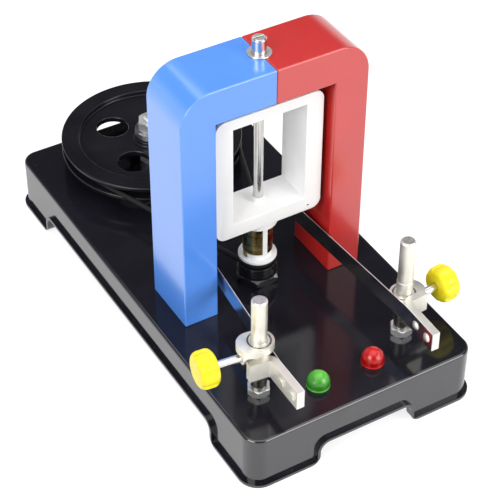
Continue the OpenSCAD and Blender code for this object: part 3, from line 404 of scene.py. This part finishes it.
former = softened("coil_former", "rotor", 0.5, 3)
former.data.materials.append(white_mould)
former_low, former_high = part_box("coil_former")
wire_hole_r = 0.75 * mm
wire_hole_in = 6.9 * mm
wire_hole_up = 2.8 * mm
bpy.ops.object.select_all(action="DESELECT")
bpy.ops.mesh.primitive_cylinder_add(
    vertices=24, radius=wire_hole_r, depth=5 * mm, rotation=(math.radians(90), 0, 0),
    location=(former_high.x - wire_hole_in, former_low.y, former_low.z + wire_hole_up),
)
cut_away(former, bpy.context.object)


# Coil
# Enamelled copper wire fills the channel of the former, row beside row, and parts round the shaft's boss.
# Under the outer layer the rows lie tight, so they are shaped as ridges on one closed ring.
core_low, core_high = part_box("coil_core")
coil_mid = (core_low + core_high) / 2
coil_half = (core_high - core_low) / 2
coil_corner = 4.2 * mm
coil_build = 3.2 * mm
boss_half = 3.6 * mm


def loop_point(share, grow):
    half_w = coil_half.x + grow
    half_h = coil_half.z + grow
    corner = max(coil_corner + grow, 0.2 * mm)
    straight_w = 2 * (half_w - corner)
    straight_h = 2 * (half_h - corner)
    bend = math.pi * corner / 2
    way = share % 1.0 * (2 * straight_w + 2 * straight_h + 4 * bend)
    lead = straight_w / 2
    if way < lead:
        return -way, -half_h
    way -= lead
    turn = 0
    for length in (bend, straight_h, bend, straight_w, bend, straight_h, bend):
        if way < length:
            break
        way -= length
        turn += 1
    if turn == 7:
        return straight_w / 2 - way, -half_h
    if turn % 2 == 0:
        angle = way / corner
        sx, sz = ((-1, -1), (-1, 1), (1, 1), (1, -1))[turn // 2]
        centre_x = sx * (half_w - corner)
        centre_z = sz * (half_h - corner)
        start = (1.5, 1.0, 0.5, 0.0)[turn // 2] * math.pi - angle
        return centre_x + corner * math.cos(start), centre_z + corner * math.sin(start)
    if turn == 1:
        return -half_w, -straight_h / 2 + way
    if turn == 3:
        return -straight_w / 2 + way, half_h
    return half_w, straight_h / 2 - way


copper_wire = metal("copper_wire", (0.33, 0.10, 0.035), (0.56, 0.21, 0.075), 0.22, 0.34, cloud=220)
set_levels(copper_wire, {"Coat Weight": 0.6, "Coat Roughness": 0.12})
rows = 34
row_steps = rows * 4
back_steps = 8
ring_steps = 128
section_steps = row_steps + back_steps
ridge_depth = 0.16 * mm
bpy.ops.object.select_all(action="DESELECT")
bpy.ops.mesh.primitive_torus_add(
    major_segments=ring_steps, minor_segments=section_steps, major_radius=0.03, minor_radius=0.01,
)
coil = bpy.context.object
coil.name = "coil_rows"
depth_half = coil_half.y - 0.1 * mm
for index, vertex in enumerate(coil.data.vertices):
    ring = index // section_steps
    step = index % section_steps
    if step <= row_steps:
        across = -1 + 2 * step / row_steps
        ridge = abs(math.sin(math.pi * step / 4))
        grow = (ridge - 1.0) * ridge_depth
    else:
        across = 1 - 2 * (step - row_steps) / back_steps
        grow = -coil_build + 0.25 * mm
    x, z = loop_point(ring / ring_steps, grow)
    y = across * depth_half
    part = boss_half * boss_half - x * x
    if part > 0:
        keep = math.sqrt(part)
        y = math.copysign(keep + abs(y) * (depth_half - keep) / depth_half, across)
    vertex.co = (coil_mid.x + x, coil_mid.y + y, coil_mid.z + z)
coil.location = (0, 0, 0)
bpy.ops.object.mode_set(mode="EDIT")
bpy.ops.mesh.select_all(action="SELECT")
bpy.ops.mesh.normals_make_consistent(inside=False)
bpy.ops.object.mode_set(mode="OBJECT")
bpy.ops.object.shade_smooth_by_angle(angle=math.radians(60))
coil.data.materials.append(copper_wire)
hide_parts("coil_core")
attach(coil, "rotor")


# Outer layer of the coil
# One enamelled wire, wound first before the shaft and then behind it, with both ends led down to the spool.
# On the sides the turns spread over the channel, and above and below they squeeze past the boss.
wire_half = 0.21 * mm
side_turns = 10
turns = 2 * side_turns - 1
turn_steps = 64
wire_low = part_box("coil_winding")[0]
pass_boss = 3.86 * mm
row_pitch = 0.5 * mm
spread = (2 * coil_half.y - 4 * wire_half) / turns
lead_side = 1.2 * mm
wire_lift = wire_half + 0.1 * mm


def row_at_boss(turn):
    if turn < side_turns:
        return -pass_boss - (side_turns - 1 - turn) * row_pitch
    return pass_boss + (turn - side_turns) * row_pitch


wire_points = []
first_y = coil_mid.y + row_at_boss(0)
last_y = coil_mid.y + row_at_boss(turns)
bottom = coil_mid.z - coil_half.z - wire_lift
for z in (wire_low.z, wire_low.z + 0.7 * mm, bottom - 0.9 * mm):
    wire_points.append((coil_mid.x + lead_side, first_y, z))
wire_points.append((coil_mid.x + 0.9 * mm, first_y, bottom - 0.27 * mm))
for turn in range(turns):
    for step in range(turn_steps):
        share = step / turn_steps
        x, z = loop_point(share, wire_lift)
        on_side = (turn + share - turns / 2) * spread
        near = max(0.0, 1 - abs(x) / (coil_half.x - coil_corner))
        near = near * near * (3 - 2 * near)
        at_boss = row_at_boss(turn) if share < 0.75 else row_at_boss(turn + 1)
        y = on_side + (at_boss - on_side) * near
        wire_points.append((coil_mid.x + x, coil_mid.y + y, coil_mid.z + z))
wire_points.append((coil_mid.x, last_y, bottom))
wire_points.append((coil_mid.x - 0.9 * mm, last_y, bottom - 0.27 * mm))
for z in (bottom - 0.9 * mm, wire_low.z + 0.7 * mm, wire_low.z):
    wire_points.append((coil_mid.x - lead_side, last_y, z))
route = bpy.data.curves.new("coil_layer", "CURVE")
route.dimensions = "3D"
route.bevel_depth = wire_half
route.bevel_resolution = 1
route.use_fill_caps = True
strand = route.splines.new("POLY")
strand.points.add(len(wire_points) - 1)
for point, place in zip(strand.points, wire_points):
    point.co = (*place, 1)
layer = bpy.data.objects.new("coil_layer", route)
bpy.context.scene.collection.objects.link(layer)
bpy.ops.object.select_all(action="DESELECT")
layer.select_set(True)
bpy.context.view_layer.objects.active = layer
bpy.ops.object.convert(target="MESH")
bpy.ops.object.shade_smooth_by_angle(angle=math.radians(60))
layer.data.materials.append(copper_wire)
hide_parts("coil_winding")
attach(layer, "rotor")


# Drive wheel
# A black moulding with a deep groove in its rim, a thin web with four round holes, and a hub.
# Its faces are satin and its edges are broken.
wheel_black = moulded(
    "wheel_black", (0.006, 0.006, 0.008), (0.010, 0.010, 0.013), 0.14, 0.24,
    cloud=40, skin=600, skin_depth=0.004,
)
set_levels(wheel_black, {"Specular IOR Level": 0.4})
wheel = softened("drive_wheel", "wheel", 0.5)
wheel.data.materials.append(wheel_black)


# Axle of the wheel
# A zinc plated bolt: its hexagon head is under the base, and its thread shows above the nut.
# The thread is turned as close rings on the shank, and the zinc is bright.
def axis_of(node):
    low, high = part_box(node)
    return (low.x + high.x) / 2, (low.y + high.y) / 2


def turned(name, outline, axis_x, axis_y, steps=48):
    bpy.ops.object.select_all(action="DESELECT")
    bpy.ops.mesh.primitive_plane_add(size=0.001, location=(0, 0, 0))
    piece = bpy.context.object
    piece.name = name
    bpy.ops.object.mode_set(mode="EDIT")
    bpy.ops.mesh.select_all(action="SELECT")
    bpy.ops.mesh.merge(type="CENTER")
    r, z = outline[0]
    bpy.ops.transform.translate(value=(axis_x + r * mm, axis_y, z * mm))
    for (r0, z0), (r1, z1) in zip(outline, outline[1:]):
        step = ((r1 - r0) * mm, 0, (z1 - z0) * mm)
        bpy.ops.mesh.extrude_region_move(TRANSFORM_OT_translate={"value": step})
    bpy.ops.mesh.select_all(action="SELECT")
    bpy.ops.mesh.spin(steps=steps, angle=math.radians(360), center=(axis_x, axis_y, 0), axis=(0, 0, 1))
    bpy.ops.mesh.select_all(action="SELECT")
    bpy.ops.mesh.remove_doubles(threshold=0.000005)
    bpy.ops.mesh.normals_make_consistent(inside=False)
    bpy.ops.object.mode_set(mode="OBJECT")
    bpy.ops.object.shade_smooth_by_angle(angle=math.radians(35))
    return piece


zinc_bright = metal("zinc_bright", (0.78, 0.78, 0.78), (0.92, 0.92, 0.91), 0.34, 0.46)
axle_x, axle_y = axis_of("wheel_axle")
axle_low, axle_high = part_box("wheel_axle")
foot = axle_low.z / mm
tip = axle_high.z / mm
head_t = 5.3
head_r = 7.5
crest_r = 4.0
root_r = 3.45
thread_pitch = 1.25
ring_z = tip - 13
outline = [(0, foot + 1), (crest_r, foot + 1), (crest_r, ring_z)]
while ring_z < tip - 2:
    outline += [
        (root_r, ring_z + 0.55),
        (root_r, ring_z + 0.7),
        (crest_r, ring_z + 1.2),
        (crest_r, ring_z + thread_pitch),
    ]
    ring_z += thread_pitch
outline += [(3.5, ring_z + 0.5), (3.1, tip), (0, tip)]
axle = turned("axle_bolt", outline, axle_x, axle_y)
bpy.ops.object.select_all(action="DESELECT")
bpy.ops.mesh.primitive_cylinder_add(vertices=6, radius=head_r * mm, depth=head_t * mm, location=(0, 0, 0))
bpy.ops.object.mode_set(mode="EDIT")
bpy.ops.mesh.select_all(action="SELECT")
bpy.ops.mesh.bevel(offset=0.4 * mm, segments=2, affect="EDGES")
bpy.ops.transform.translate(value=(axle_x, axle_y, (foot + head_t / 2) * mm))
bpy.ops.object.mode_set(mode="OBJECT")
bpy.ops.object.shade_smooth_by_angle(angle=math.radians(25))
axle.select_set(True)
bpy.context.view_layer.objects.active = axle
bpy.ops.object.join()
axle.data.materials.append(zinc_bright)
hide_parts("wheel_axle")
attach(axle, "base")


# Nuts and washers of the wheel
# A nut clamps the bolt to the base, and a stack of thin washers and a second nut keep the wheel on it.
# The nuts are zinc plated with their corners turned off, and the washers are oiled steel.
oiled_steel = metal("oiled_steel", (0.16, 0.16, 0.17), (0.30, 0.30, 0.31), 0.22, 0.36, cloud=180)
for node, edge, look in (
    ("axle_nut", 0.15, zinc_bright),
    ("wheel_washers", 0.15, oiled_steel),
    ("wheel_nut", 0.2, zinc_bright),
):
    wheel_hardware = softened(node, "base", edge)
    wheel_hardware.data.materials.append(look)


# Crank
# A steel spindle is screwed through the web and held by a nut, and a black turned knob spins on it.
# The knob is glossy, with a clear coat over it.
spindle = softened("crank_spindle", "wheel", 0.3)
spindle.data.materials.append(turned_steel)
spindle_nut = softened("crank_nut", "wheel", 0.15)
spindle_nut.data.materials.append(zinc_plate)
knob_black = moulded(
    "knob_black", (0.012, 0.011, 0.011), (0.02, 0.019, 0.019), 0.12, 0.24,
    ior=1.55, cloud=70, skin=700, skin_depth=0.004,
)
set_levels(knob_black, {"Coat Weight": 0.5, "Coat Roughness": 0.08})
handle = softened("crank_knob", "knob", 0.4)
handle.data.materials.append(knob_black)


# Belt
# A round cord of black rubber runs in the grooves of the wheel and the pulley.
# It is dull and a little dusty, with a fine grain from moulding.
belt_rubber = moulded(
    "belt_rubber", (0.005, 0.005, 0.005), (0.010, 0.010, 0.010), 0.5, 0.7,
    ior=1.45, cloud=300, skin=900, skin_depth=0.02,
)
set_levels(belt_rubber, {"Specular IOR Level": 0.3})
belt = softened("drive_belt", "base", 0)
belt.data.materials.append(belt_rubber)


# Terminal posts
# Nickel plated rods, turned with a chamfer on top and a thread below, with a nut on each side of the base.
# Fine turning marks run round them under the plating. The threaded lower part is painted dark as painted
# shade, and the tops are painted darker as a painted reflection.
nickel_bright = metal(
    "nickel_bright", (0.78, 0.755, 0.68), (0.90, 0.88, 0.80), 0.40, 0.52,
    cloud=110, lines=(0.04, 0.04, 1), line_scale=2800,
)
# Painted reflection: the post tops get a darker nickel than the sides.
post_top_painted_dark = metal("post_top_painted_dark", (0.46, 0.45, 0.41), (0.66, 0.64, 0.59), 0.30, 0.42, cloud=700)
# Painted shade: a dark metal for the thread low on each post and for the groove round each eye; the thread
# rings are real.
thread_and_groove_painted_shade = metal(
    "thread_and_groove_painted_shade", (0.14, 0.135, 0.12), (0.34, 0.33, 0.30), 0.24, 0.38,
    cloud=900, lines=(0.02, 0.02, 1), line_scale=1500, line_depth=0.05,
)
thread_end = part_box("brush_bracket_left")[0].z - 0.6 * mm
for side in ("left", "right"):
    post = softened("terminal_post_" + side, "base", 0.3, 3)
    post.data.materials.append(nickel_bright)
    post.data.materials.append(thread_and_groove_painted_shade)
    bpy.ops.object.mode_set(mode="EDIT")
    bpy.ops.mesh.select_all(action="SELECT")
    bpy.ops.mesh.bisect(plane_co=(0, 0, thread_end), plane_no=(0, 0, 1))
    bpy.ops.object.mode_set(mode="OBJECT")
    for face in post.data.polygons:
        face.material_index = 1 if face.center.z < thread_end else 0
    faces_up(post, post_top_painted_dark)
for node, look, slot in (("post_nuts", zinc_bright, "nickel"), ("post_under_nuts", zinc_plate, "steel")):
    nuts = softened(node, "base", 0.15)
    nuts.data.materials.append(look)


# Brush brackets
# Thick nickel plated plate, bent before the post, with a round eye on top and a boss for the clamp screw.
# The plating is satin with a soft cast skin, and a fine groove runs round the post on each eye. The groove
# is painted dark as painted shade, and the top faces are painted darker as a painted reflection.
# Painted reflection: the faces that point up get a darker nickel than the plate.
nickel_top_painted_dark = metal("nickel_top_painted_dark", (0.70, 0.68, 0.62), (0.82, 0.80, 0.74), 0.38, 0.48, cloud=120)
nickel_plate = metal("nickel_plate", (0.76, 0.735, 0.67), (0.89, 0.865, 0.79), 0.40, 0.52, cloud=90)
relief(nickel_plate, noise(nickel_plate, 420, detail=2.0), 0.02, 0.5)
groove_r = 5.3 * mm
groove_half = 0.42 * mm
for side, eye_below in (("left", 0.0), ("right", 1.0 * mm)):
    bracket = softened("brush_bracket_" + side, "brush_" + side, 0.5, 3)
    bracket.data.materials.append(nickel_plate)
    faces_up(bracket, nickel_top_painted_dark)
    bracket.data.materials.append(thread_and_groove_painted_shade)
    post_x, post_y = axis_of("terminal_post_" + side)
    eye_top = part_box("brush_bracket_" + side)[1].z - eye_below
    bpy.ops.object.select_all(action="DESELECT")
    bpy.ops.mesh.primitive_torus_add(
        major_segments=72, minor_segments=16, major_radius=groove_r, minor_radius=groove_half,
        location=(post_x, post_y, eye_top),
    )
    cut_away(bracket, bpy.context.object)
    # Faces inside the groove get the dark metal: painted shade.
    for face in bracket.data.polygons:
        below = eye_top - face.center.z
        from_ring = math.hypot(face.center.x - post_x, face.center.y - post_y) - groove_r
        if below > 0.01 * mm and math.hypot(from_ring, below) < groove_half * 1.01:
            face.material_index = 2


# Brush strips and rivets
# Strips of rolled spring steel stand on edge beside the commutator, each held by two rivets.
# Rolling marks run along the strips, and their tips are rounded. Their upper slit edges are bare cut steel,
# painted much lighter as a painted highlight.
# Painted highlight: the upward slit edges get a far lighter steel than the faces.
slit_edge_painted_highlight = metal("slit_edge_painted_highlight", (0.86, 0.86, 0.85), (0.95, 0.95, 0.94), 0.40, 0.50, cloud=300)
spring_steel = metal(
    "spring_steel", (0.56, 0.56, 0.56), (0.72, 0.72, 0.71), 0.15, 0.25,
    cloud=130, lines=(1, 0.03, 1), line_scale=2200, line_depth=0.003,
)
for side in ("left", "right"):
    strip = softened("brush_strip_" + side, "brush_" + side, 0.08)
    strip.data.materials.append(spring_steel)
    faces_up(strip, slit_edge_painted_highlight)
    rivets = softened("brush_rivets_" + side, "brush_" + side, 0.15)
    rivets.data.materials.append(nickel_bright)


# Clamp screws and knobs
# A plain steel screw goes through each bracket's boss to the post, with a yellow knob moulded on its end.
# The knob has eight soft lobes, a shallow dish round the screw and a crowned outer face.
knob_yellow = moulded(
    "knob_yellow", (0.86, 0.72, 0.012), (0.92, 0.80, 0.02), 0.24, 0.34,
    cloud=120, skin=600,
)
set_levels(knob_yellow, {"Specular IOR Level": 0.3})
for side in ("left", "right"):
    clamp = softened("clamp_screw_" + side, "clamp_" + side, 0.25)
    clamp.data.materials.append(turned_steel)
    grip = softened("clamp_knob_" + side, "clamp_" + side, 0)
    skin = grip.modifiers.new("skin", "REMESH")
    skin.mode = "VOXEL"
    skin.voxel_size = 0.3 * mm
    skin.use_smooth_shade = True
    bpy.ops.object.modifier_apply(modifier="skin")
    soft = grip.modifiers.new("soft", "SMOOTH")
    soft.factor = 0.5
    soft.iterations = 4
    bpy.ops.object.modifier_apply(modifier="soft")
    grip.data.materials.append(knob_yellow)


# Lamps
# Round lamps of tinted, cloudy resin stand on the base with their flanges, one green and one red.
# The resin has a clear skin. A painted highlight makes it paler on top, and the flange is painted lighter as
# a painted highlight round the rim.
def lamp_resin_painted_highlight(name, deep, painted_highlight_tint, axis_x, axis_y, top):
    made = finish(name, painted_highlight_tint, 0.2, ior=1.54)
    set_levels(made, {
        "Subsurface Weight": 0.35,
        "Subsurface Radius": (0.0025, 0.0025, 0.0025),
        "Subsurface Scale": 1.0,
        "Specular IOR Level": 0.3,
        "Coat Weight": 0.45,
        "Coat Roughness": 0.03,
    })
    nodes = made.node_tree.nodes
    links = made.node_tree.links
    coords = nodes.new("ShaderNodeTexCoord")
    mapping = nodes.new("ShaderNodeMapping")
    mapping.inputs["Location"].default_value = (-axis_x, -axis_y, -top)
    ball = nodes.new("ShaderNodeVectorMath")
    ball.operation = "LENGTH"
    links.new(coords.outputs["Object"], mapping.inputs["Vector"])
    links.new(mapping.outputs["Vector"], ball.inputs[0])
    # Painted highlight: the colour turns pale within a few millimetres of the dome's top.
    near = nodes.new("ShaderNodeMapRange")
    near.inputs["From Min"].default_value = 0.0075
    near.inputs["From Max"].default_value = 0.0015
    links.new(ball.outputs["Value"], near.inputs["Value"])
    tint(made, near.outputs["Result"], deep, painted_highlight_tint, 0.0, 1.0)
    relief(made, noise(made, 260, detail=1.0), 0.01, 0.5)
    return made


flange_t = 1.0
for node, deep, painted_highlight_tint, rim_painted_highlight in (
    ("lamp_green", (0.025, 0.22, 0.014), (0.12, 0.52, 0.05), (0.15, 0.52, 0.09)),
    ("lamp_red", (0.34, 0.002, 0.002), (0.56, 0.008, 0.007), (0.56, 0.020, 0.017)),
):
    lamp_low, lamp_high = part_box(node)
    lamp_x, lamp_y = axis_of(node)
    foot_z = lamp_low.z / mm
    tip_z = lamp_high.z / mm
    brim = (lamp_high.x - lamp_low.x) / mm / 2
    dome_r = brim - 0.1
    dome = [
        (0, foot_z),
        (brim - 0.2, foot_z),
        (brim, foot_z + 0.2),
        (brim, foot_z + 0.9),
        (brim - 0.06, foot_z + flange_t),
    ]
    for step in range(18):
        angle = math.radians(5 * step)
        dome.append((dome_r * math.cos(angle), tip_z - dome_r + dome_r * math.sin(angle)))
    dome.append((0, tip_z))
    bulb = turned(node + "_bulb", dome, lamp_x, lamp_y, 56)
    bulb.data.materials.append(lamp_resin_painted_highlight(node + "_resin", deep, painted_highlight_tint, lamp_x, lamp_y, lamp_high.z))
    # The flange gets the lighter rim colour, a painted highlight round the lamp's foot.
    bulb.data.materials.append(lamp_resin_painted_highlight(node + "_rim", rim_painted_highlight, painted_highlight_tint, lamp_x, lamp_y, lamp_high.z))
    for face in bulb.data.polygons:
        if face.center.z < lamp_low.z + flange_t * mm:
            face.material_index = 1
    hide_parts(node)
    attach(bulb, "base")
leads = softened("lamp_leads", "base", 0.06, 1)
leads.data.materials.append(zinc_plate)
